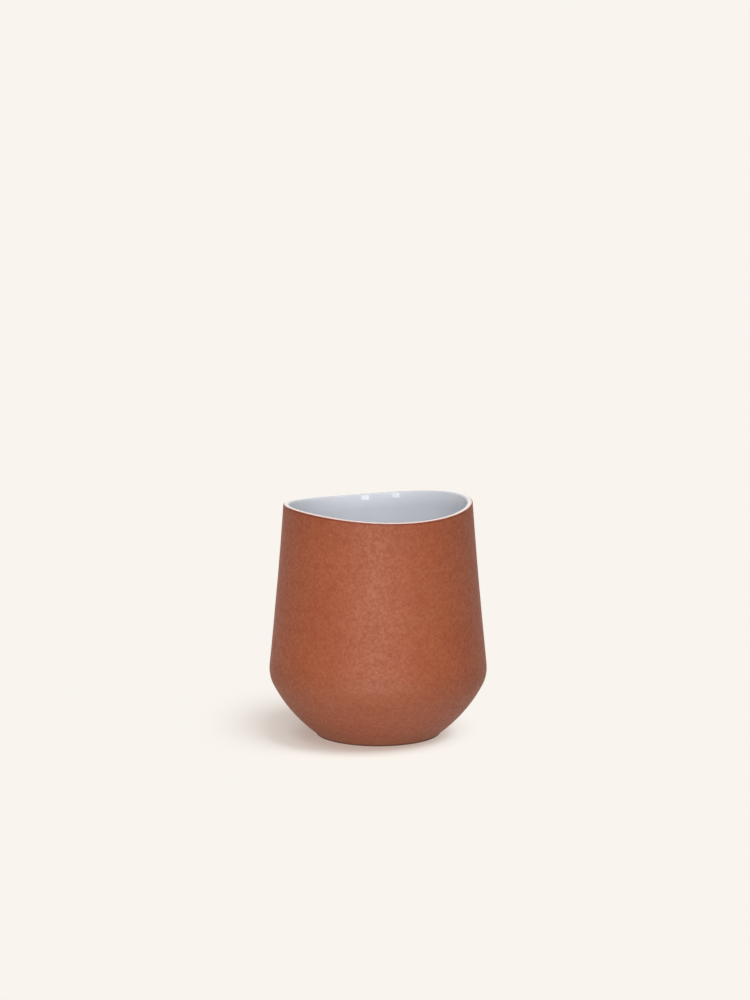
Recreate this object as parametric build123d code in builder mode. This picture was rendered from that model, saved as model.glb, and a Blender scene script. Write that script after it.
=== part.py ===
"""A handleless drinking cup: red clay, bare outside, with a pale glaze lining that folds over its wavy lip.

The cup stands on its foot at the origin, with +Z up and its axis on Z. All lengths are in millimetres.
"""
import os
from math import cos, radians, sin

from build123d import *

# Outer form of the clay
foot_diameter = 49.4
foot_step = 0.9  # upright edge of the foot, below the bowl
foot_rounding = 0.5
belly_diameter = 84.8  # where the lines of bowl and wall would meet, before the rounding
belly_height = 23.4
belly_rounding = 14.0
bowl_bulge = 1.85  # how far the bowl swells past a straight cone
rim_diameter = 73.0
rim_height = 89.6  # mean height of the wavy lip
wall_hollow = 0.25  # how far the wall draws in from a straight cone

# Rise and fall of the lip round the cup; headings turn from +X towards +Y
rim_wave = 1.4  # two crests and two dips
rim_wave_heading = 22.7
rim_tilt = 1.0  # one high side
rim_tilt_heading = -60.0

# Inside and underside
wall = 3.0  # clay and glaze together
floor_height = 5.0
floor_rounding = 11.0
lip = 1.6  # clay and glaze together, at the very top
lip_taper = 6.0  # how far down the inside the lip's thinning reaches
recess_diameter = 37.0
recess_depth = 1.2
recess_rounding = 0.4

# Glaze
glaze = 0.3
lip_bare = 0.45  # clay left bare at the outer edge of the lip

# Points that the rim's line passes through
rim_points = 24

foot_radius = foot_diameter / 2
recess_radius = recess_diameter / 2
foot_top = Vector(foot_radius, foot_step)
belly = Vector(belly_diameter / 2, belly_height)
rim = Vector(rim_diameter / 2, rim_height)
reach = wall + lip  # how far the blanks and the cutters run past the lip
overrun = lip / 2  # how far the slope's cutter runs past the slope
blank_height = rim_height + rim_wave + rim_tilt + reach
wall_run = (rim - belly).normalized()
bowl_run = (belly - foot_top).normalized()
wall_inward = wall_run.rotate(Axis.Z, 90)
bowl_inward = bowl_run.rotate(Axis.Z, 90)
wall_top = belly + wall_run * ((blank_height - belly_height) / wall_run.Y)


def set_in(distance):
    """Wall top and belly corner of a line that runs a distance inside the outer form."""
    corner = belly + (wall_inward + bowl_inward) * (distance / (1 + wall_inward.dot(bowl_inward)))
    return wall_top + wall_inward * distance, corner


def bowl_foot(corner, level):
    """Point at a level where the straight line of the bowl, drawn down from a belly corner, arrives."""
    return corner - bowl_run * ((corner.Y - level) / bowl_run.Y)


def cup_lines(top, corner, low):
    """Draw the wall from its top to the belly corner and the bowl from there to its low end."""
    bulge = bowl_bulge * ((corner - low).length / (belly - foot_top).length) ** 2
    hollow = (top + corner) / 2 + wall_inward * (2 * wall_hollow)
    Bezier(top, hollow, corner)
    SagittaArc(corner, low, bulge)


def round_corner(section, corner, radius):
    """Round the corner of a section that lies at or nearest a point."""
    fillet(section.vertices().sort_by_distance(corner)[0], radius=radius)


def rim_line(set_back, drop):
    """Closed line that rises and falls with the lip, set back from its outer edge and a drop below it."""
    points = []
    for step in range(rim_points):
        heading = radians(360 * step / rim_points)
        tilt = rim_tilt * cos(heading - radians(rim_tilt_heading))
        wave = rim_wave * cos(2 * (heading - radians(rim_wave_heading)))
        radius = rim.X - set_back + (tilt + wave) * wall_run.X / wall_run.Y
        points.append((radius * cos(heading), radius * sin(heading), rim_height + tilt + wave - drop))
    return Spline(points, periodic=True)


def lip_cutters(depth):
    """Wavy faces that cut a lip a depth below the glaze: its top, and the slope that thins it inside."""
    top = Face.make_surface_from_curves(rim_line(wall + reach, depth), rim_line(-reach, depth))
    steepness = lip_taper / (wall - lip)
    inner = rim_line(wall - depth + overrun, depth + lip_taper + overrun * steepness)
    outer = rim_line(lip - depth - overrun, depth - overrun * steepness)
    return top, Face.make_surface_from_curves(inner, outer)


def cut_lip(cutters):
    """Take away all that lies above the cutters."""
    for cutter in cutters:
        extrude(cutter, amount=2 * blank_height, dir=(0, 0, 1), mode=Mode.SUBTRACT)


clay_lip = lip_cutters(glaze)
glaze_lip = lip_cutters(0)

# The clay body: foot, bowl, belly and wall in one piece, thinned inside at the lip
with BuildPart() as clay_body:
    outer_top, outer_corner = set_in(0)
    inner_top, inner_corner = set_in(wall - glaze)
    clay_floor = floor_height - glaze
    floor_edge = bowl_foot(inner_corner, clay_floor)
    with BuildSketch(Plane.XZ) as clay_section:
        with BuildLine():
            cup_lines(outer_top, outer_corner, foot_top)
            Polyline(foot_top, (foot_radius, 0), (recess_radius, 0), (recess_radius, recess_depth))
            Polyline((recess_radius, recess_depth), (0, recess_depth), (0, clay_floor), floor_edge)
            cup_lines(inner_top, inner_corner, floor_edge)
            Line(inner_top, outer_top)
        make_face()
        round_corner(clay_section, outer_corner, belly_rounding)
        round_corner(clay_section, inner_corner, belly_rounding - wall + glaze)
        round_corner(clay_section, floor_edge, floor_rounding)
        round_corner(clay_section, (foot_radius, 0), foot_rounding)
        round_corner(clay_section, (recess_radius, 0), recess_rounding)
        round_corner(clay_section, (recess_radius, recess_depth), recess_rounding)
    revolve(axis=Axis.Z)
    cut_lip(clay_lip)
clay_body.part.label = "clay_body"

# The glaze: a thin coat on the inside that folds over the lip and stops short of its outer edge
with BuildPart() as inner_glaze:
    blank_top, blank_corner = set_in(lip_bare)
    coat_top, coat_corner = set_in(wall)
    blank_floor = floor_height - 2 * glaze
    blank_edge = bowl_foot(blank_corner, blank_floor)
    coat_edge = bowl_foot(coat_corner, floor_height)
    with BuildSketch(Plane.XZ) as glaze_section:
        with BuildLine():
            cup_lines(blank_top, blank_corner, blank_edge)
            Polyline(blank_edge, (0, blank_floor), (0, floor_height), coat_edge)
            cup_lines(coat_top, coat_corner, coat_edge)
            Line(coat_top, blank_top)
        make_face()
        round_corner(glaze_section, blank_corner, belly_rounding - lip_bare)
        round_corner(glaze_section, coat_corner, belly_rounding - wall)
        round_corner(glaze_section, coat_edge, floor_rounding)
    revolve(axis=Axis.Z)
    cut_lip(glaze_lip)
    add(clay_body.part, mode=Mode.SUBTRACT)
inner_glaze.part.label = "inner_glaze"

os.makedirs("parts", exist_ok=True)
export_step(clay_body.part, "parts/clay_body.step")
export_step(inner_glaze.part, "parts/inner_glaze.step")
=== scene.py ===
"""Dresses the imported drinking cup: bare red clay outside, pale glossy glaze inside and over its wavy lip.

Both pieces are turned as fine meshes on the lines of the cup's form. Lengths are millimetres unless a comment
says otherwise. Blender's own lengths are metres.
"""

import logging
import math
from dataclasses import asdict, dataclass
from enum import Enum

import bpy
import numpy as np
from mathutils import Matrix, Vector

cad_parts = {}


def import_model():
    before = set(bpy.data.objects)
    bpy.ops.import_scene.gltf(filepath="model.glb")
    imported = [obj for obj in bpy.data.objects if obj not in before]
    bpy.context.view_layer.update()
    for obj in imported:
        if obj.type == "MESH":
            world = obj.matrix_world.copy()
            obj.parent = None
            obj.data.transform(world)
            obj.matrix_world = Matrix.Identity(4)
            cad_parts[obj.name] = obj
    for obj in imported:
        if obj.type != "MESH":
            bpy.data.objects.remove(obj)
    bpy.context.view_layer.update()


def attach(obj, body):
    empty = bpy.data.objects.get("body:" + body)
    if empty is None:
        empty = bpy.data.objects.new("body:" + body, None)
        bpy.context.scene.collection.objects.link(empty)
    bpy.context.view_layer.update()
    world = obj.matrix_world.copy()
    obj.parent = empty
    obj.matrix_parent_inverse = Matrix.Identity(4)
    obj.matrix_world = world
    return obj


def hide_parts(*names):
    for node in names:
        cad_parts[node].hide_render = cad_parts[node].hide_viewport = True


LOG = logging.getLogger("drinking_cup")
MM = 0.001
LIP_DROP = "lip_drop"  # mesh attribute: distance down the outside from the crest of the lip, negative inside
WALL_POINTS = 160  # points on a line before it is divided evenly, as the next four
BOWL_POINTS = 60
FLOOR_POINTS = 60
SLOPE_POINTS = 24
ROUNDING_POINTS = 24
Colour = tuple[float, float, float]
Span = tuple[float, float]
Passage = tuple[float, ...]  # where a change starts and is full, and what comes out there if not 0 and 1
Array = np.ndarray
Node = bpy.types.Node
Socket = bpy.types.NodeSocket
Feed = Socket | float | Colour
PAPER_COLOUR: Colour = (0.947, 0.905, 0.855)


# Lines in the plane of a section

def arc_length(points: Array) -> Array:
    """Distance along a line at each of its points.

    Args:
        points: The line's points, one (radius, level) a row.

    Returns:
        The distance of each point from the first.
    """
    steps = np.linalg.norm(np.diff(points, axis=0), axis=1)
    return np.concatenate([[0.0], np.cumsum(steps)])


def evenly(points: Array, step: float) -> Array:
    """Place points along a line at equal distances.

    Args:
        points: The line's points.
        step: The distance wanted between neighbours.

    Returns:
        The new points, from the line's first to its last.
    """
    along = arc_length(points)
    count = max(2, round(along[-1] / step) + 1)
    wanted = np.linspace(0.0, along[-1], count)
    return np.column_stack([np.interp(wanted, along, points[:, axis]) for axis in (0, 1)])


def bezier(*handles: Span | Array, count: int = 12) -> Array:
    """Points on the cubic curve of four handles.

    Args:
        handles: Start, two handles and end.
        count: How many points.

    Returns:
        The points, one a row.
    """
    start, first, second, end = (np.asarray(handle, float) for handle in handles)
    t = np.linspace(0.0, 1.0, count)[:, None]
    return (1 - t) ** 3 * start + 3 * t * (1 - t) ** 2 * first + 3 * t**2 * (1 - t) * second + t**3 * end


def bulged(start: Array, end: Array, bulge: float) -> Array:
    """Points on a circular arc between two points.

    Args:
        start: Where the arc begins.
        end: Where it ends.
        bulge: How far its middle lies from the straight line, to the left on the way from start to end.

    Returns:
        The points, one a row.
    """
    chord = end - start
    half = np.linalg.norm(chord) / 2
    along = chord / (2 * half)
    left = np.array([-along[1], along[0]])
    radius = (half**2 + bulge**2) / (2 * bulge)
    reach = math.asin(half / radius)
    centre = (start + end) / 2 + left * (bulge - radius)
    turn = np.linspace(-reach, reach, BOWL_POINTS)[:, None]
    return centre + radius * (np.sin(turn) * along + np.cos(turn) * left)


def unit(vector: Array) -> Array:
    """The vector's direction, at length 1."""
    return vector / np.linalg.norm(vector)


def turn_between(first: Array, second: Array) -> float:
    """Angle between two directions, in radians."""
    return math.acos(float(np.clip(np.dot(unit(first), unit(second)), -1, 1)))


def rounded(before: Array, after: Array, radius: float) -> Array:
    """Join two lines that meet in a corner, with the corner rounded.

    Args:
        before: The line that ends in the corner.
        after: The line that starts there.
        radius: The radius of the rounding.

    Returns:
        The joined line.
    """
    before_run = arc_length(before)
    after_run = arc_length(after)
    reach = radius * math.tan(turn_between(before[-1] - before[-2], after[1] - after[0]) / 2)
    kept_before = before[before_run < before_run[-1] - reach]
    kept_after = after[after_run > reach]
    start = kept_before[-1]
    end = kept_after[0]
    leaving = unit(kept_before[-1] - kept_before[-2])
    arriving = unit(kept_after[1] - kept_after[0])
    # Handles of this length keep the curve close to a circle
    handle = np.linalg.norm(end - start) * 2 / 3 / (1 + math.cos(turn_between(leaving, arriving) / 2))
    handles = start, start + leaving * handle, end - arriving * handle, end
    curve = bezier(*handles, count=ROUNDING_POINTS)
    return np.concatenate([kept_before[:-1], curve, kept_after[1:]])


def eased(value: Array, low: float, high: float) -> Array:
    """Smooth rise from 0 at low to 1 at high."""
    t = np.clip((value - low) / (high - low), 0.0, 1.0)
    return t * t * (3 - 2 * t)


# The form that both pieces share

@dataclass(frozen=True)
class Wave:
    """One of the waves by which the hand-finished wall wanders from true round."""

    share: float
    turns: int  # crests round the cup
    phase: float  # radians
    climb: float  # height in which it moves on by a radian, negative where it leans the other way
    bend: float = 0.0  # radians by which the wave swings up and down on its way round

    def height(self, heading: Array, level: Array) -> Array:
        """How far the wave stands out at each heading, in radians, and level."""
        swing = self.bend * np.cos(2 * heading)
        return self.share * np.cos(self.turns * heading + self.phase + level / self.climb + swing)


@dataclass(frozen=True)
class CupForm:
    """Sizes of the cup and the lines that its two pieces share.

    The sizes are those of the solids, but for the lip, which is 0.4 wider at its top.
    """

    foot_radius: float = 24.7
    foot_step: float = 0.9
    recess_radius: float = 18.5
    recess_depth: float = 1.2
    recess_rounding: float = 0.4
    belly_radius: float = 42.4
    belly_height: float = 23.4
    belly_rounding: float = 14.0
    bowl_bulge: float = 1.85
    rim_radius: float = 36.5
    rim_height: float = 89.6
    wall_hollow: float = 0.25
    rim_wave: float = 1.4
    rim_wave_heading: float = 22.7  # degrees
    rim_tilt: float = 1.0
    rim_tilt_heading: float = -60.0  # degrees
    wall: float = 3.0
    floor_height: float = 5.0
    floor_rounding: float = 11.0
    lip: float = 2.0
    lip_taper: float = 6.0
    glaze: float = 0.3
    uneven: float = 0.04  # how far a wave of full share wanders from true round
    drawn_in: float = 0.03  # keeps the widest wander inside the solid
    uneven_from: Span = (2.0, 14.0)  # levels between which the wander sets in, above the foot
    belly_calm: float = 0.85  # share of the wander that is missing at the belly
    belly_calm_reach: float = 9.0
    waves: tuple[Wave, ...] = (
        Wave(1.0, 2, 0.7, 34.0),
        Wave(1.0, 3, 2.1, -21.0),
        Wave(0.6, 5, 4.0, 9.5),
        Wave(0.42, 8, 1.3, -6.2),
        Wave(0.175, 0, 0.0, 2.9, bend=0.8),
        Wave(0.14, 1, 0.0, 1.7),
    )

    @property
    def foot_top(self) -> Array:
        """Where the foot ends and the bowl begins, on the outside."""
        return np.array([self.foot_radius, self.foot_step])

    @property
    def belly(self) -> Array:
        """Corner where the lines of wall and bowl meet before the rounding."""
        return np.array([self.belly_radius, self.belly_height])

    @property
    def wall_run(self) -> Array:
        """Direction of the wall, upwards."""
        return unit(np.array([self.rim_radius, self.rim_height]) - self.belly)

    @property
    def bowl_run(self) -> Array:
        """Direction of the bowl's straight line, upwards."""
        return unit(self.belly - self.foot_top)

    def wall_radius(self, level: Array | float) -> Array | float:
        """Radius of the outer wall at a level."""
        share = (level - self.belly_height) / (self.rim_height - self.belly_height)
        return (self.belly_radius - 4 * self.wall_hollow * share) * (1 - share) + self.rim_radius * share

    def lip_rise(self, heading: Array) -> Array:
        """How far the lip stands above its mean height at each heading, in radians from +X towards +Y."""
        tilt = self.rim_tilt * np.cos(heading - math.radians(self.rim_tilt_heading))
        return tilt + self.rim_wave * np.cos(2 * (heading - math.radians(self.rim_wave_heading)))

    def side(self, inset: float, low_level: float, top_level: float) -> Array:
        """Line of bowl, belly and wall, upwards, for a cup whose lip is level.

        Args:
            inset: How far inside the outer form the line runs.
            low_level: Where the bowl's line starts.
            top_level: Where the wall's line ends.

        Returns:
            The line's points, closely spaced.
        """
        wall_inward = np.array([-self.wall_run[1], self.wall_run[0]])
        bowl_inward = np.array([-self.bowl_run[1], self.bowl_run[0]])
        corner = self.belly + (wall_inward + bowl_inward) * inset / (1 + np.dot(wall_inward, bowl_inward))
        low = corner - self.bowl_run * (corner[1] - low_level) / self.bowl_run[1]
        full_run = np.linalg.norm(self.belly - self.foot_top)
        bulge = self.bowl_bulge * (np.linalg.norm(corner - low) / full_run) ** 2
        bowl = bulged(low, corner, -bulge)
        levels = np.linspace(corner[1], top_level, WALL_POINTS)
        radii = self.wall_radius(levels) - inset / self.wall_run[1]
        radii += corner[0] - radii[0]
        return rounded(bowl, np.column_stack([radii, levels]), self.belly_rounding - inset)

    def inner_side(self, depth: float) -> Array:
        """Line from below the lip down the inside, round the belly and over the floor to its middle.

        Args:
            depth: How far the line lies under the glaze's face.

        Returns:
            The line's points, downwards.
        """
        floor = self.floor_height - depth
        side = self.side(self.wall - depth, floor, self.rim_height - self.lip_taper)[::-1]
        across = np.linspace([side[-1][0], floor], [0.0, floor], FLOOR_POINTS)
        return rounded(side, across, self.floor_rounding)

    def lip_point(self, inward: float, above: float) -> Array:
        """Radius and level of the point inward of the outer wall and above the crest of a level lip."""
        level = self.rim_height + above
        return np.array([self.wall_radius(level) - inward / self.wall_run[1], level])

    def thickness(self, above: float) -> float:
        """Thickness of clay and glaze together, at a height over the crest of the lip."""
        share = max(0.0, 1 + above / self.lip_taper)
        return self.wall - (self.wall - self.lip) * share**2

    def inner_slope(self, depth: float, start: float) -> Array:
        """Line down the inside of the lip, where it thins.

        Args:
            depth: How far the line lies under the glaze's face.
            start: Height over the crest where it begins.

        Returns:
            The line's points, downwards, to where the wall has its full thickness.
        """
        heights = np.linspace(start, -self.lip_taper, SLOPE_POINTS)
        return np.array([self.lip_point(self.thickness(above) - depth, above) for above in heights])

    def under_glaze(self, sunk: float) -> Array:
        """Line where clay and glaze meet, from a lip sunk below the crest to the middle of the floor."""
        slope = self.inner_slope(self.glaze, -sunk - self.glaze)
        return np.concatenate([slope, self.inner_side(self.glaze)[1:]])

    def wander(self, heading: Array, level: Array) -> Array:
        """How far the surface stands out from true round, at each heading and level.

        Args:
            heading: Headings in radians.
            level: Levels, of a shape that fits the headings.

        Returns:
            Distances, negative where the surface draws in.
        """
        from_belly = (level - self.belly_height) / self.belly_calm_reach
        calm = 1 - self.belly_calm * np.exp(-(from_belly**2))
        hand = sum(wave.height(heading, level) for wave in self.waves)
        return self.uneven * hand * calm * eased(level, *self.uneven_from) - self.drawn_in


# Turned meshes

@dataclass(frozen=True)
class Turning:
    """A section line that starts and ends on the axis, and how it is turned into a closed mesh."""

    line: Array  # one (radius, level) a row
    crest: int  # row of the lip's crest
    hidden: tuple[int, int]  # rows between which the other piece covers the line
    columns: int  # points round the cup
    hidden_strip: float = 0.05  # share of their length that hidden rows get in the texture

    def vertices(self, form: CupForm) -> Array:
        """Places of all points, ring by ring, with the lip's wave and the wander of the wall.

        Args:
            form: The cup's form.

        Returns:
            An array of rows by columns by 3, in metres.
        """
        heading = np.arange(self.columns) * 2 * math.pi / self.columns
        radius = self.line[:, :1]
        level = self.line[:, 1:]
        share = eased(level, form.belly_height, form.rim_height - form.lip_taper)
        raised = level + share * form.lip_rise(heading)[None, :]
        leaned = radius + form.wall_radius(raised) - form.wall_radius(level)
        width = leaned + form.wander(heading[None, :], raised) * radius / form.belly_radius
        return MM * np.stack([width * np.cos(heading), width * np.sin(heading), raised], axis=-1)

    def upright(self) -> Array:
        """Share of the texture's height at each row. The hidden rows take a thin strip.

        Returns:
            Shares from 0 to 1.
        """
        steps = np.linalg.norm(np.diff(self.line, axis=0), axis=1)
        steps[self.hidden[0]:self.hidden[1]] *= self.hidden_strip
        along = np.concatenate([[0.0], np.cumsum(steps)])
        return along / along[-1]

    def drop(self) -> Array:
        """Distance of each row down the outside from the crest of the lip, negative on the inside."""
        along = arc_length(self.line)
        return along[self.crest] - along

    def mesh(self, name: str, form: CupForm) -> bpy.types.Mesh:
        """Turn the section.

        Args:
            name: The mesh's name.
            form: The cup's form.

        Returns:
            A closed mesh with smooth faces, a texture map and the drop from the lip at each point.
        """
        places = self.vertices(form)
        rows = len(self.line)
        last = 1 + (rows - 2) * self.columns
        inner = np.arange(1, last).reshape(rows - 2, self.columns)
        points = np.concatenate([places[:1, 0], places[1:-1].reshape(-1, 3), places[-1:, 0]])
        onward = np.roll(inner, -1, axis=1)
        quads = np.stack([inner[:-1], onward[:-1], onward[1:], inner[1:]], axis=-1).reshape(-1, 4)
        first_fan = np.stack([np.zeros(self.columns, int), onward[0], inner[0]], axis=-1)
        last_fan = np.stack([inner[-1], onward[-1], np.full(self.columns, last)], axis=-1)
        mesh = bpy.data.meshes.new(name)
        mesh.from_pydata(points.tolist(), [], quads.tolist() + first_fan.tolist() + last_fan.tolist())
        mesh.shade_smooth()
        drops = self.drop()
        values = np.concatenate([drops[:1], np.repeat(drops[1:-1], self.columns), drops[-1:]])
        mesh.attributes.new(LIP_DROP, "FLOAT", "POINT").data.foreach_set("value", values)
        mesh.uv_layers.new(name="OFBake").data.foreach_set("uv", self.map_corners().ravel())
        return mesh

    def map_corners(self) -> Array:
        """Texture places of all face corners, in the order that mesh() makes its faces.

        Returns:
            One place a row.
        """
        up = self.upright()
        left = np.arange(self.columns) / self.columns
        right = left + 1 / self.columns
        middle = (left + right) / 2
        low = np.repeat(up[1:-2], self.columns)
        high = np.repeat(up[2:-1], self.columns)
        spans = len(up) - 3
        quad_u = np.column_stack([np.tile(side, spans) for side in (left, right, right, left)])
        quad_v = np.column_stack([low, low, high, high])
        first_v = np.tile([up[0], up[1], up[1]], self.columns)
        last_v = np.tile([up[-2], up[-2], up[-1]], self.columns)
        first_u = np.column_stack([middle, right, left]).ravel()
        last_u = np.column_stack([left, right, middle]).ravel()
        u = np.concatenate([quad_u.ravel(), first_u, last_u])
        v = np.concatenate([quad_v.ravel(), first_v, last_v])
        return np.column_stack([u, v])


# Shader nodes

class NodeBench:
    """Adds nodes to one tree and joins them."""

    def __init__(self, tree: bpy.types.NodeTree) -> None:
        """Take up a tree and clear it."""
        self.tree = tree
        self.tree.nodes.clear()

    def add(self, kind: str, feeds: dict[str | int, Feed] | None = None, **settings: object) -> Node:
        """Add a node.

        Args:
            kind: The node's type, without the word ShaderNode in front.
            feeds: What each named or numbered input gets: another node's output, a number or a colour.
            settings: The node's own settings.

        Returns:
            The new node.
        """
        node = self.tree.nodes.new("ShaderNode" + kind)
        for name, value in settings.items():
            setattr(node, name, value)
        for key, value in (feeds or {}).items():
            self.feed(node.inputs[key], value)
        return node

    def feed(self, socket: Socket, value: Feed) -> None:
        """Join an output to a socket, or set the socket to a number or colour.

        Args:
            socket: The input that is fed.
            value: What it gets.
        """
        if isinstance(value, Socket):
            self.tree.links.new(value, socket)
        elif socket.type == "RGBA":
            socket.default_value = (*value, 1.0)
        else:
            socket.default_value = value

    def place(self) -> Socket:
        """Place on the object, in its own coordinates, in metres."""
        return self.add("TexCoord").outputs["Object"]

    def lip_drop(self) -> Socket:
        """Distance down the outside from the crest of the lip, in millimetres."""
        return self.add("Attribute", attribute_name=LIP_DROP).outputs["Fac"]

    def maths(self, operation: str, first: Feed, second: Feed) -> Socket:
        """Result of a sum on two numbers."""
        return self.add("Math", {0: first, 1: second}, operation=operation).outputs[0]

    def vector(self, operation: str, *values: Feed) -> Socket:
        """Result of a sum on vectors that gives a vector."""
        return self.add("VectorMath", dict(enumerate(values)), operation=operation).outputs[0]

    def length(self, vector: Feed) -> Socket:
        """Length of a vector."""
        return self.add("VectorMath", {0: vector}, operation="LENGTH").outputs["Value"]

    def fade(self, value: Feed, start: float, end: float, low: float = 0.0, high: float = 1.0) -> Socket:
        """Smooth passage of a value from one range to another.

        Args:
            value: What is read.
            start: The value at which the passage starts.
            end: The value at which it ends.
            low: What comes out at the start.
            high: What comes out at the end.

        Returns:
            The output that carries the result.
        """
        feeds = {0: value, 1: start, 2: end, 3: low, 4: high}
        return self.add("MapRange", feeds, interpolation_type="SMOOTHSTEP").outputs[0]

    def blend(self, share: Feed, first: Feed, second: Feed) -> Socket:
        """Colour that passes from the first to the second as the share goes from 0 to 1."""
        return self.add("Mix", {0: share, 6: first, 7: second}, data_type="RGBA").outputs[2]

    def shade(self, share: Feed, colour: Feed, by: Colour) -> Socket:
        """Colour multiplied by another as the share goes from 0 to 1."""
        feeds = {0: share, 6: colour, 7: by}
        return self.add("Mix", feeds, data_type="RGBA", blend_type="MULTIPLY").outputs[2]

    def bump(self, height: Feed, strength: float, depth: float) -> Socket:
        """Normal of a surface that a height roughens, with a depth in millimetres."""
        return self.add("Bump", {"Strength": strength, "Distance": depth * MM, "Height": height}).outputs[0]


@dataclass(frozen=True)
class SharedEffect:
    """A node group that the finishes place, each time with the values in its fields."""

    name = ""

    def tree(self) -> bpy.types.NodeTree:
        """Make the group the first time it is asked for.

        Returns:
            The group, with an input for each field.
        """
        made = bpy.data.node_groups.get(self.name)
        if made:
            return made
        tree = bpy.data.node_groups.new(self.name, "ShaderNodeTree")
        for socket in asdict(self):
            tree.interface.new_socket(socket, in_out="INPUT", socket_type="NodeSocketFloat")
        tree.interface.new_socket("mask", in_out="OUTPUT", socket_type="NodeSocketFloat")
        bench = NodeBench(tree)
        entry = tree.nodes.new("NodeGroupInput")
        leave = tree.nodes.new("NodeGroupOutput")
        bench.feed(leave.inputs["mask"], self.draw(bench, entry))
        return tree

    def mask(self, bench: NodeBench) -> Socket:
        """Place the group with the effect's values and give its mask."""
        return bench.add("Group", asdict(self), node_tree=self.tree()).outputs[0]

    def draw(self, bench: NodeBench, entry: Node) -> Socket:
        """Add the group's nodes.

        Args:
            bench: Where the nodes are added.
            entry: The node that carries the group's inputs.

        Returns:
            The output that becomes the mask.
        """
        raise NotImplementedError


@dataclass(frozen=True)
class Clouding(SharedEffect):
    """Soft patches from 0 to 1, drawn out level round the cup."""

    scale: float
    flatness: float
    shift: float
    name = "clouding"
    detail = 4.0
    roughness = 0.55
    contrast = (0.3, 0.7)  # noise that counts as 0 and as 1

    def draw(self, bench: NodeBench, entry: Node) -> Socket:
        """Add noise on the object's own places, squeezed upright by the flatness. See SharedEffect.draw."""
        squeeze = bench.add("CombineXYZ", {0: 1.0, 1: 1.0, 2: entry.outputs["flatness"]}).outputs[0]
        moved = bench.add("CombineXYZ", {0: entry.outputs["shift"]}).outputs[0]
        squeezed = bench.vector("MULTIPLY_ADD", bench.place(), squeeze, moved)
        feeds = {"Vector": squeezed, "Scale": entry.outputs["scale"]}
        feeds |= {"Detail": self.detail, "Roughness": self.roughness}
        return bench.fade(bench.add("TexNoise", feeds).outputs[0], *self.contrast)


@dataclass(frozen=True)
class Specks(SharedEffect):
    """Scattered small spots of uneven outline, 1 in the spots and 0 between them."""

    scale: float
    reach: float
    share: float
    name = "specks"
    detail = 2.0
    fineness = 2.7  # scale of the ragged outline, against that of the spots
    raggedness = (0.3, 0.7, 0.4, 1.3)  # from noise to the share of the reach at which the outline lies
    softness = (1.0, 0.5)  # from the outline to where a spot is full

    def draw(self, bench: NodeBench, entry: Node) -> Socket:
        """Add spots in a share of scattered cells. See SharedEffect.draw."""
        place = bench.place()
        cells = bench.add("TexVoronoi", {"Vector": place, "Scale": entry.outputs["scale"]})
        finer = bench.maths("MULTIPLY", entry.outputs["scale"], self.fineness)
        noise = bench.add("TexNoise", {"Vector": place, "Scale": finer, "Detail": self.detail}).outputs[0]
        edge = bench.maths("MULTIPLY", entry.outputs["reach"], bench.fade(noise, *self.raggedness))
        spot = bench.fade(bench.maths("DIVIDE", cells.outputs["Distance"], edge), *self.softness)
        chance = bench.add("SeparateColor", {0: cells.outputs["Color"]}).outputs[0]
        chosen = bench.maths("LESS_THAN", chance, entry.outputs["share"])
        return bench.maths("MULTIPLY", spot, chosen)


# The finishes

class Finish:
    """A surface's look, as a material made of nodes."""

    slot = ""

    def material(self) -> bpy.types.Material:
        """Make the material.

        Returns:
            A material named for the record's slot.
        """
        material = bpy.data.materials.new(self.slot)
        material.use_nodes = True
        bench = NodeBench(material.node_tree)
        shader = bench.add("BsdfPrincipled")
        bench.add("OutputMaterial", {"Surface": shader.outputs[0]})
        self.dress(bench, shader)
        return material

    def dress(self, bench: NodeBench, shader: Node) -> None:
        """Feed the shader's inputs.

        Args:
            bench: The material's nodes.
            shader: Its Principled shader.
        """
        raise NotImplementedError


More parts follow.
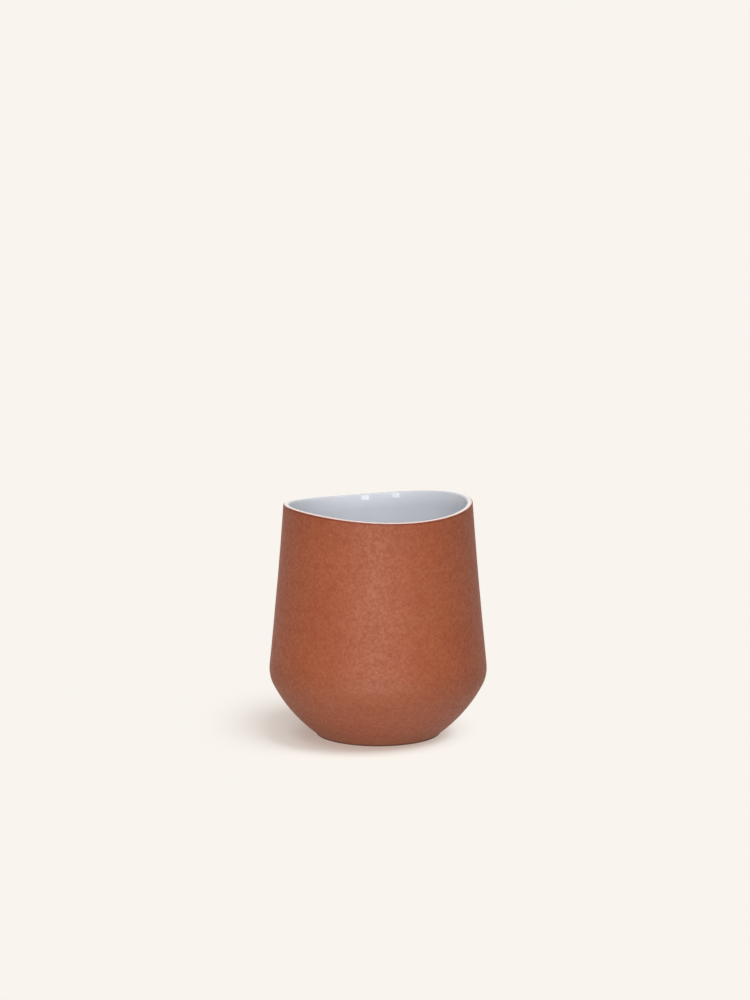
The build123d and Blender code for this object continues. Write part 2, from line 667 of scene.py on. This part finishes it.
@dataclass(frozen=True)
class RedClay(Finish):
    """Unglazed red clay, sponged smooth: soft patches, sandy grain, pores and a few pale grits.

    A passage named drop runs by the distance from the lip's crest, one named level by the height over the
    table and one named reach by the distance from the axis.
    """

    slot = "red_clay"
    deep: Colour = (0.440, 0.102, 0.036)
    pale: Colour = (0.526, 0.152, 0.063)
    patches: Clouding = Clouding(38.0, 1.7, 0.0)
    bands: Clouding = Clouding(26.0, 7.0, 7.7)
    blotches: Clouding = Clouding(170.0, 1.4, 3.1)
    mottle: Clouding = Clouding(420.0, 1.0, 4.3)
    pale_shares: tuple[float, ...] = (0.30, 0.18, 0.24, 0.32)  # of patches, bands, blotches and mottle
    sand: Clouding = Clouding(820.0, 1.0, 1.9)
    grain: Clouding = Clouding(1700.0, 1.0, 6.1)
    grain_shade: Colour = (0.82, 0.70, 0.63)
    grain_dark: Passage = (0.0, 1.0, 0.62, 0.0)  # from hollow to crest of sand and grain
    pores: Specks = Specks(620.0, 0.17, 0.45)
    pore_shade: Colour = (0.66, 0.60, 0.57)
    grits: Specks = Specks(330.0, 0.085, 0.30)
    grit: Colour = (0.66, 0.34, 0.23)
    grit_share: float = 0.6
    # darkens the clay towards the lip
    lip_band: Colour = (0.91, 0.88, 0.86)
    lip_band_drop: Passage = (15.0, 2.0)
    lip_stain: Colour = (0.62, 0.50, 0.44)
    lip_stain_drop: Passage = (1.2, 0.4)
    # Dust near the foot; on the lower bowl the same blend is partly dust and partly a painted sheen of the
    # paper below
    dust_and_sheen: Colour = (0.50, 0.20, 0.13)
    bowl_dust_and_sheen_level: Passage = (31.0, 18.0, 0.0, 0.20)
    foot_dust_level: Passage = (9.0, 1.5, 0.0, 0.12)
    # Painted shade round the belly, where its rounding turns down and away from the light
    belly_painted_shade: Colour = (0.92, 0.94, 0.97)
    belly_shade_upper_level: Passage = (33.0, 27.0)
    belly_shade_lower_level: Passage = (18.0, 25.0)
    crumbs: Specks = Specks(480.0, 0.20, 0.40)
    crumb_level: Passage = (5.0, 2.0, 0.0, 0.45)
    # Painted contact shade along the lowest edge of the foot, where it meets the table
    foot_painted_shade: Colour = (0.34, 0.45, 0.45)
    foot_shade_level: Passage = (0.95, 0.70)
    foot_shade_reach: Passage = (23.0, 24.0, 0.25, 1.0)
    gloss: float = 0.54
    roughness: Passage = (0.0, 1.0, 0.67, 0.53)  # from hollow to crest of the sand
    bump: float = 0.34
    bump_depth: float = 0.06
    grain_height: float = 0.45  # of the fine grain, against the sand

    def dress(self, bench: NodeBench, shader: Node) -> None:
        """Feed colour, roughness and bump from patches, grain, pores and grits. See Finish.dress."""
        sand = self.sand.mask(bench)
        grain = self.grain.mask(bench)
        pores = self.pores.mask(bench)
        colour = self.patched(bench)
        for layer in (sand, grain):
            colour = bench.shade(bench.fade(layer, *self.grain_dark), colour, self.grain_shade)
        colour = bench.shade(pores, colour, self.pore_shade)
        grits = bench.maths("MULTIPLY", self.grits.mask(bench), self.grit_share)
        colour = bench.blend(grits, colour, self.grit)
        drop = bench.lip_drop()
        colour = bench.shade(bench.fade(drop, *self.lip_band_drop), colour, self.lip_band)
        colour = bench.shade(bench.fade(drop, *self.lip_stain_drop), colour, self.lip_stain)
        bench.feed(shader.inputs["Base Color"], self.low_dust_and_painted_shade(bench, colour))
        bench.feed(shader.inputs["Roughness"], bench.fade(sand, *self.roughness))
        shader.inputs["Specular IOR Level"].default_value = self.gloss
        height = bench.maths("SUBTRACT", sand, pores)
        height = bench.maths("ADD", height, bench.maths("MULTIPLY", grain, self.grain_height))
        bench.feed(shader.inputs["Normal"], bench.bump(height, self.bump, self.bump_depth))

    def patched(self, bench: NodeBench) -> Socket:
        """Colour of the clay between deep and pale, patch by patch.

        Args:
            bench: The material's nodes.

        Returns:
            The output that carries the colour.
        """
        layers = zip((self.patches, self.bands, self.blotches, self.mottle), self.pale_shares)
        tones = [bench.maths("MULTIPLY", layer.mask(bench), share) for layer, share in layers]
        tone = tones[0]
        for more in tones[1:]:
            tone = bench.maths("ADD", tone, more)
        return bench.blend(tone, self.deep, self.pale)

    def low_dust_and_painted_shade(self, bench: NodeBench, colour: Socket) -> Socket:
        """Add painted shade at the belly and the foot's edge, dust and a painted sheen below, and crumbs.

        Args:
            bench: The material's nodes.
            colour: The output that carries the colour so far.

        Returns:
            The output that carries the new colour.
        """
        place = bench.vector("DIVIDE", bench.place(), (MM, MM, MM))
        level = bench.add("SeparateXYZ", {0: place}).outputs["Z"]
        reach = bench.length(bench.vector("MULTIPLY", place, (1.0, 1.0, 0.0)))
        # on the lower bowl, dust and a painted sheen of the paper below
        bowl_dust_and_sheen = bench.fade(level, *self.bowl_dust_and_sheen_level)
        on_foot = bench.fade(level, *self.foot_dust_level)
        colour = bench.blend(bench.maths("ADD", bowl_dust_and_sheen, on_foot), colour, self.dust_and_sheen)
        # painted shade round the belly
        upper = bench.fade(level, *self.belly_shade_upper_level)
        lower = bench.fade(level, *self.belly_shade_lower_level)
        colour = bench.shade(bench.maths("MULTIPLY", upper, lower), colour, self.belly_painted_shade)
        near_foot = bench.fade(level, *self.crumb_level)
        colour = bench.blend(bench.maths("MULTIPLY", self.crumbs.mask(bench), near_foot), colour, self.grit)
        # painted contact shade along the foot's lowest edge
        low = bench.fade(level, *self.foot_shade_level)
        outer = bench.fade(reach, *self.foot_shade_reach)
        return bench.shade(bench.maths("MULTIPLY", low, outer), colour, self.foot_painted_shade)


@dataclass(frozen=True)
class PaleGlaze(Finish):
    """Glossy pale glaze, whitened over the lip's crest by painted light, and thin and pinkish at its edge
    there.

    A passage named drop runs by the distance from the lip's crest, which is negative inside.
    """

    slot = "pale_glaze"
    body: Colour = (0.546, 0.560, 0.606)
    cloud: Colour = (0.575, 0.589, 0.633)
    clouds: Clouding = Clouding(60.0, 1.2, 5.3)
    pinhole: Colour = (0.80, 0.77, 0.75)
    pinholes: Specks = Specks(260.0, 0.06, 0.18)
    # painted light on the crest, which faces up into the light
    crest: Colour = (0.88, 0.84, 0.83)
    crest_light_drop: Passage = (-0.60, -0.05)
    thin: Colour = (0.78, 0.52, 0.45)
    thin_drop: Passage = (0.10, 0.60)
    roughness: Passage = (0.0, 1.0, 0.02, 0.04)  # from body to cloud
    ripple: Clouding = Clouding(240.0, 1.0, 9.1)
    bump: float = 0.02
    bump_depth: float = 0.05

    def dress(self, bench: NodeBench, shader: Node) -> None:
        """Feed colour, roughness and bump from clouds, pinholes and the thin edge. See Finish.dress."""
        clouds = self.clouds.mask(bench)
        colour = bench.blend(clouds, self.body, self.cloud)
        colour = bench.shade(self.pinholes.mask(bench), colour, self.pinhole)
        drop = bench.lip_drop()
        # painted light: the crest is whitened as though lit from above
        colour = bench.blend(bench.fade(drop, *self.crest_light_drop), colour, self.crest)
        colour = bench.blend(bench.fade(drop, *self.thin_drop), colour, self.thin)
        bench.feed(shader.inputs["Base Color"], colour)
        bench.feed(shader.inputs["Roughness"], bench.fade(clouds, *self.roughness))
        bench.feed(shader.inputs["Normal"], bench.bump(self.ripple.mask(bench), self.bump, self.bump_depth))


# The cup's pieces

@dataclass
class Piece:
    """One piece of the cup: its form, its finish and the solid that it stands for."""

    form: CupForm
    finish: Finish
    node: str
    columns: int = 400  # points round the cup
    hidden_step: float = 2.4  # between points that the other piece covers

    def section(self) -> Turning:
        """The piece's section line and how it is turned."""
        raise NotImplementedError

    def build(self) -> bpy.types.Object:
        """Make the piece, dress it and put it in its solid's place.

        Returns:
            The new object.
        """
        mesh = self.section().mesh(self.node + "_turned", self.form)
        mesh.materials.append(self.finish.material())
        piece = bpy.data.objects.new(self.node + "_turned", mesh)
        bpy.context.scene.collection.objects.link(piece)
        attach(piece, "root")
        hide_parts(self.node)
        LOG.info("%s: %d faces", piece.name, len(mesh.polygons))
        return piece


@dataclass
class ClayBody(Piece):
    """Foot, bowl, belly and wall in one piece of clay, up to the bare edge of the lip."""

    foot_slope: float = 0.65  # how far the worn edge of the foot draws in on its way down
    foot_low_handle: float = 0.25  # of the worn edge's curve, outwards from its lower end
    foot_high_handle: Span = (0.30, 0.45)  # inwards and down from its upper end
    lip_edge: float = 0.26  # rounding of the bare outer edge
    lip_sunk: float = 0.21  # how far the bare edge lies below the crest of the glaze
    row_step: float = 0.62
    edge_step: float = 0.12
    ring_step: float = 1.24
    ceiling_step: float = 2.48

    def section(self) -> Turning:
        """Line from the middle of the underside, up the outside, over the lip and down under the glaze.

        Returns:
            The line, ready to be turned.
        """
        form = self.form
        side = form.side(0.0, form.foot_step, form.rim_height - self.lip_sunk - self.lip_edge)
        corner = form.lip_point(0.0, -self.lip_sunk)
        inner = form.lip_point(self.lip_edge, -self.lip_sunk)
        edge = bezier(side[-1], (side[-1] + 2 * corner) / 3, (inner + 2 * corner) / 3, inner)
        outside = [*self.underside(), evenly(side, self.row_step), evenly(edge, self.edge_step)]
        line = np.concatenate([outside[0], *(part[1:] for part in outside[1:])])
        under = evenly(form.under_glaze(self.lip_sunk), self.hidden_step)
        hidden = len(line), len(line) + len(under) - 1
        return Turning(np.concatenate([line, under]), len(line) - 1, hidden, self.columns)

    def underside(self) -> list[Array]:
        """Lines of the recess, the ring that the cup stands on and the worn edge of the foot.

        Returns:
            The lines in order outwards.
        """
        form = self.form
        depth = form.recess_depth
        inside = form.recess_radius - form.recess_rounding
        outside = form.recess_radius + form.recess_rounding
        foot_in = form.foot_radius - self.foot_slope
        ceiling = evenly(np.array([[0.0, depth], [inside, depth]]), self.ceiling_step)
        top = self.quarter((inside, depth), (form.recess_radius, depth - form.recess_rounding), True)
        low = self.quarter((form.recess_radius, form.recess_rounding), (outside, 0.0), False)
        ring = evenly(np.array([[outside, 0.0], [foot_in, 0.0]]), self.ring_step)
        low_handle = foot_in + self.foot_low_handle, 0.0
        high_handle = form.foot_top - np.array(self.foot_high_handle)
        worn = evenly(bezier((foot_in, 0.0), low_handle, high_handle, form.foot_top), self.edge_step)
        return [ceiling, top, low, ring, worn]

    def quarter(self, start: Span, end: Span, level_first: bool) -> Array:
        """Small rounding between a level and an upright face.

        Args:
            start: Where it begins.
            end: Where it ends.
            level_first: Whether the level face comes first.

        Returns:
            The rounding's points.
        """
        corner = np.array([end[0], start[1]]) if level_first else np.array([start[0], end[1]])
        first = (np.array(start) + corner) / 2
        second = (np.array(end) + corner) / 2
        return evenly(bezier(start, first, second, end), self.edge_step)


@dataclass
class InnerGlaze(Piece):
    """The glaze: a coat over the whole inside that rolls over the lip and ends just inside its outer edge."""

    edge_in: float = 0.24  # distance of the glaze's edge from the outer wall
    edge_sunk: float = 0.25  # how far that edge lies below the crest, a little into the clay
    edge_lean: float = 0.02  # how far the roll leans in as it leaves the edge
    edge_turn: float = 0.2  # share of its depth that is left where the roll turns level
    outer_run: float = 0.32  # level run of the roll's curve, on each side of the crest
    inner_run: float = 0.40
    roll_depth: float = 0.6  # how far below the crest the roll ends, on the inside
    slope_run: float = 0.42  # upright run of its curve there
    roll_step: float = 0.09
    slope_step: float = 0.30
    row_step: float = 0.9

    def section(self) -> Turning:
        """Line from the middle of the floor up against the clay, over the lip and down the inside.

        Returns:
            The line, ready to be turned.
        """
        form = self.form
        back = evenly(form.under_glaze(self.edge_sunk), self.hidden_step)[::-1]
        outer, inner = self.roll()
        slope = form.inner_slope(0.0, -self.roll_depth)
        inside = form.inner_side(0.0)
        parts = [back, outer, inner[1:]]
        parts += [evenly(slope, self.slope_step)[1:], evenly(inside, self.row_step)[1:]]
        crest = len(back) + len(outer) - 1
        return Turning(np.concatenate(parts), crest, (0, len(back)), self.columns)

    def roll(self) -> tuple[Array, Array]:
        """Lines of the rounded roll over the lip.

        Returns:
            The line from the glaze's edge to the crest, and the line from there to the inside.
        """
        form = self.form
        crest_in = (self.edge_in + form.lip) / 2
        end_in = form.thickness(-self.roll_depth)
        # How fast the lip thickens downwards, where the roll ends
        lean = 2 * (form.wall - form.lip) / form.lip_taper * (1 - self.roll_depth / form.lip_taper)
        outer = (
            (self.edge_in, -self.edge_sunk),
            (self.edge_in + self.edge_lean, -self.edge_turn * self.edge_sunk),
            (crest_in - self.outer_run, 0.0),
            (crest_in, 0.0),
        )
        inner = (
            (crest_in, 0.0),
            (crest_in + self.inner_run, 0.0),
            (end_in - lean * self.slope_run, self.slope_run - self.roll_depth),
            (end_in, -self.roll_depth),
        )
        curves = [bezier(*(form.lip_point(*handle) for handle in handles)) for handles in (outer, inner)]
        return evenly(curves[0], self.roll_step), evenly(curves[1], self.roll_step)


# The studio

class LampKind(Enum):
    """Kinds of lamp, by Blender's names for them."""

    SUN = "SUN"
    PANEL = "AREA"


class Target(Enum):
    """What a lamp is set up to light."""

    CLAY = "lit_clay"
    GLAZE = "lit_glaze"
    PAPER = "lit_paper"


@dataclass(frozen=True)
class Lamp:
    """A studio lamp that points at the cup. Angles are degrees, and headings turn from +X towards +Y."""

    name: str
    kind: LampKind
    target: Target
    heading: float
    elevation: float
    level: float  # light on a white surface that faces a sun, or brightness of a panel's face; 1 is white
    width: float  # angle across, seen from the cup
    height: float = 0.0  # angle upright, of a panel
    distance: float = 3.0  # metres
    mirrored: bool = True  # whether gloss shows the lamp's image

    def build(self, aim: Vector, lit: bpy.types.Collection) -> None:
        """Hang the lamp.

        Args:
            aim: The point it faces.
            lit: The objects that it lights.
        """
        light = bpy.data.lights.new(self.name, self.kind.value)
        if self.kind is LampKind.SUN:
            light.angle = math.radians(self.width)
            light.energy = math.pi * self.level
        else:
            light.shape = "RECTANGLE"
            light.size = 2 * self.distance * math.tan(math.radians(self.width / 2))
            light.size_y = 2 * self.distance * math.tan(math.radians(self.height / 2))
            light.energy = math.pi * self.level * light.size * light.size_y
        lamp = bpy.data.objects.new(self.name, light)
        bpy.context.scene.collection.objects.link(lamp)
        rise = math.radians(self.elevation)
        turn = math.radians(self.heading)
        towards = Vector((math.cos(rise) * math.cos(turn), math.cos(rise) * math.sin(turn), math.sin(rise)))
        lamp.location = aim + towards * self.distance
        lamp.rotation_mode = "QUATERNION"
        lamp.rotation_quaternion = towards.to_track_quat("Z", "Y")
        lamp.visible_glossy = self.mirrored
        lamp.light_linking.receiver_collection = lit
        LOG.info("lamp %s", self.name)


@dataclass(frozen=True)
class Paper:
    """A sheet of pale paper under the cup. It shows the cup's shadow close by and is plain further out."""

    colour: Colour = PAPER_COLOUR
    shadow_depth: Colour = (0.59, 0.652, 0.679)  # share of the colour that the lamps give near the cup
    shadow_middle: Span = (-12.2, 12.7)
    shadow_reach: Span = (64.3, 119.0)  # sideways and away
    contact_middle: Span = (-2.1, -2.1)
    contact_reach: Span = (21.7, 34.2)  # distances between which the shadow under the cup fades
    bounce: Colour = (0.16, 0.152, 0.144)
    size: float = 9.0  # metres
    sunk: float = 0.02  # how far the paper lies below the foot

    def build(self) -> bpy.types.Object:
        """Lay the paper a hair below the level of the cup's foot.

        Returns:
            The paper's object.
        """
        level = -self.sunk * MM
        signs = ((-1, -1), (1, -1), (1, 1), (-1, 1))
        sheet = [(self.size * x, self.size * y, level) for x, y in signs]
        mesh = bpy.data.meshes.new("studio_paper")
        mesh.from_pydata(sheet, [], [(0, 1, 2, 3)])
        mesh.materials.append(self.material())
        paper = bpy.data.objects.new("studio_paper", mesh)
        bpy.context.scene.collection.objects.link(paper)
        return paper

    @staticmethod
    def distance(bench: NodeBench, middle: Span, units: Span) -> Socket:
        """Distance from a point of the paper, in units of length that may differ sideways and away."""
        offset = bench.vector("SUBTRACT", bench.place(), tuple(MM * value for value in (*middle, 0.0)))
        return bench.length(bench.vector("DIVIDE", offset, tuple(MM * value for value in (*units, 1.0))))

    def material(self) -> bpy.types.Material:
        """Make the paper's look, which sends less light back to the cup than it shows.

        Returns:
            The paper's material.
        """
        material = bpy.data.materials.new("studio_paper")
        material.use_nodes = True
        material.cycles.emission_sampling = "NONE"
        bench = NodeBench(material.node_tree)
        around = self.distance(bench, self.shadow_middle, self.shadow_reach)
        beside = self.distance(bench, self.contact_middle, (1.0, 1.0))
        near = bench.fade(around, 0.0, 1.0, 1.0, 0.0)
        close = bench.fade(beside, *self.contact_reach, 1.0, 0.0)
        near = bench.maths("ADD", near, bench.maths("MULTIPLY", close, bench.maths("SUBTRACT", 1.0, near)))
        lit = tuple(colour * depth for colour, depth in zip(self.colour, self.shadow_depth))
        plain = tuple(colour - share for colour, share in zip(self.colour, lit))
        shadowed = bench.add("BsdfDiffuse", {"Color": bench.blend(near, (0.0, 0.0, 0.0), lit)}).outputs[0]
        even = bench.add("Emission", {"Color": bench.blend(near, self.colour, plain)}).outputs[0]
        shown = bench.add("AddShader", {0: shadowed, 1: even}).outputs[0]
        sent = bench.add("Emission", {"Color": self.bounce}).outputs[0]
        diffuse = bench.add("LightPath").outputs["Is Diffuse Ray"]
        mixed = bench.add("MixShader", {0: diffuse, 1: shown, 2: sent}).outputs[0]
        bench.add("OutputMaterial", {"Surface": mixed})
        return material


@dataclass(frozen=True)
class Backdrop:
    """The world: a dim even light, shown as the paper's own colour."""

    colour: Colour = PAPER_COLOUR
    ambient: float = 0.09

    def build(self) -> None:
        """Make the scene's world."""
        world = bpy.data.worlds.new("studio_air")
        world.use_nodes = True
        bench = NodeBench(world.node_tree)
        lit = bench.add("Background", {"Color": (1.0, 1.0, 1.0), "Strength": self.ambient}).outputs[0]
        shown = bench.add("Background", {"Color": self.colour, "Strength": 1.0}).outputs[0]
        path = bench.add("LightPath").outputs
        direct = bench.maths("MAXIMUM", path["Is Camera Ray"], path["Is Glossy Ray"])
        direct = bench.maths("MAXIMUM", direct, path["Is Transmission Ray"])
        mixed = bench.add("MixShader", {0: direct, 1: lit, 2: shown}).outputs[0]
        bench.add("OutputWorld", {"Surface": mixed})
        bpy.context.scene.world = world


@dataclass(frozen=True)
class PhotoCamera:
    """A camera at the photograph's viewing angle, aimed so that the middle of the foot falls on its pixel."""

    distance: float = 1600.0  # from the middle of the foot
    elevation: float = 14.0  # degrees
    pixel: float = 0.38846  # width of a pixel at the cup's axis
    foot_at: Span = (378.15, 731.2)  # pixels
    image: tuple[int, int] = (750, 1000)
    sensor: float = 36.0
    far: float = 100.0  # metres that the view reaches

    def build(self) -> None:
        """Place and aim the scene's camera."""
        right = self.foot_at[0] - self.image[0] / 2
        below = self.foot_at[1] - self.image[1] / 2
        focus = math.sqrt((self.distance / self.pixel) ** 2 - below**2)
        data = bpy.data.cameras.new("photo_camera")
        data.sensor_width = self.sensor
        data.lens = self.sensor * focus / max(self.image)
        data.clip_end = self.far
        camera = bpy.data.objects.new("photo_camera", data)
        bpy.context.scene.collection.objects.link(camera)
        rise = math.radians(self.elevation)
        camera.location = Vector((0.0, -math.cos(rise), math.sin(rise))) * self.distance * MM
        pitch = rise - math.atan(below / focus)
        camera.rotation_euler = (math.pi / 2 - pitch, 0.0, math.atan(right / focus))
        bpy.context.scene.camera = camera


@dataclass
class Studio:
    """Paper, backdrop, lamps and camera."""

    clay: bpy.types.Object
    glaze: bpy.types.Object
    aim: float  # metres over the foot that the lamps point at
    paper: Paper = Paper()
    backdrop: Backdrop = Backdrop()
    camera: PhotoCamera = PhotoCamera()
    pane_level: float = 5.2
    pane_height: float = 17.5

    def lamps(self) -> list[Lamp]:
        """Set out the lamps: one for the paper, two for the clay, and four and two windows for the glaze.

        Returns:
            The lamps. Each window has two panes, and the glaze mirrors them.
        """
        sun = LampKind.SUN
        lamps = [
            Lamp("key", sun, Target.PAPER, heading=-30.0, elevation=68.0, level=0.98, width=30.0),
            Lamp("front", sun, Target.CLAY, heading=-92.0, elevation=13.0, level=0.80, width=40.0),
            Lamp("behind", sun, Target.CLAY, 90.0, 25.0, level=0.60, width=40.0, mirrored=False),
        ]
        # Where each lamp for the glaze stands: heading, elevation, level and width
        inside = {
            "left": (-102.0, 37.0, 0.82, 40.0),
            "right": (-22.0, 25.0, 0.28, 30.0),
            "front": (90.0, 20.0, 0.60, 30.0),
            "above": (-90.0, 84.0, 0.14, 40.0),
        }
        for name, values in inside.items():
            lamps.append(Lamp("inside_" + name, sun, Target.GLAZE, *values, mirrored=False))
        # Where each pane stands: heading, elevation and width
        panes = {
            "a": (-118.9, 11.5, 4.0),
            "b": (-113.7, 11.5, 4.0),
            "c": (-76.3, 10.2, 6.5),
            "d": (-70.9, 10.2, 3.2),
        }
        for name, (heading, elevation, width) in panes.items():
            shape = self.pane_level, width, self.pane_height
            lamps.append(Lamp("pane_" + name, LampKind.PANEL, Target.GLAZE, heading, elevation, *shape))
        return lamps

    def build(self) -> None:
        """Set up the studio round the cup, with a collection for what each kind of lamp lights."""
        self.backdrop.build()
        lit = {Target.CLAY: self.clay, Target.GLAZE: self.glaze, Target.PAPER: self.paper.build()}
        groups = {target: bpy.data.collections.new(target.value) for target in lit}
        for target, item in lit.items():
            groups[target].objects.link(item)
        for lamp in self.lamps():
            lamp.build(Vector((0.0, 0.0, self.aim)), groups[lamp.target])
        self.camera.build()
        bpy.context.scene.view_settings.view_transform = "Standard"


def main() -> None:
    """Build the cup's pieces and the studio."""
    logging.basicConfig(level=logging.INFO, format="%(message)s")
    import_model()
    form = CupForm()
    clay = ClayBody(form, RedClay(), "clay_body").build()
    glaze = InnerGlaze(form, PaleGlaze(), "inner_glaze").build()
    Studio(clay, glaze, form.rim_height * MM).build()


if __name__ == "__main__":
    main()
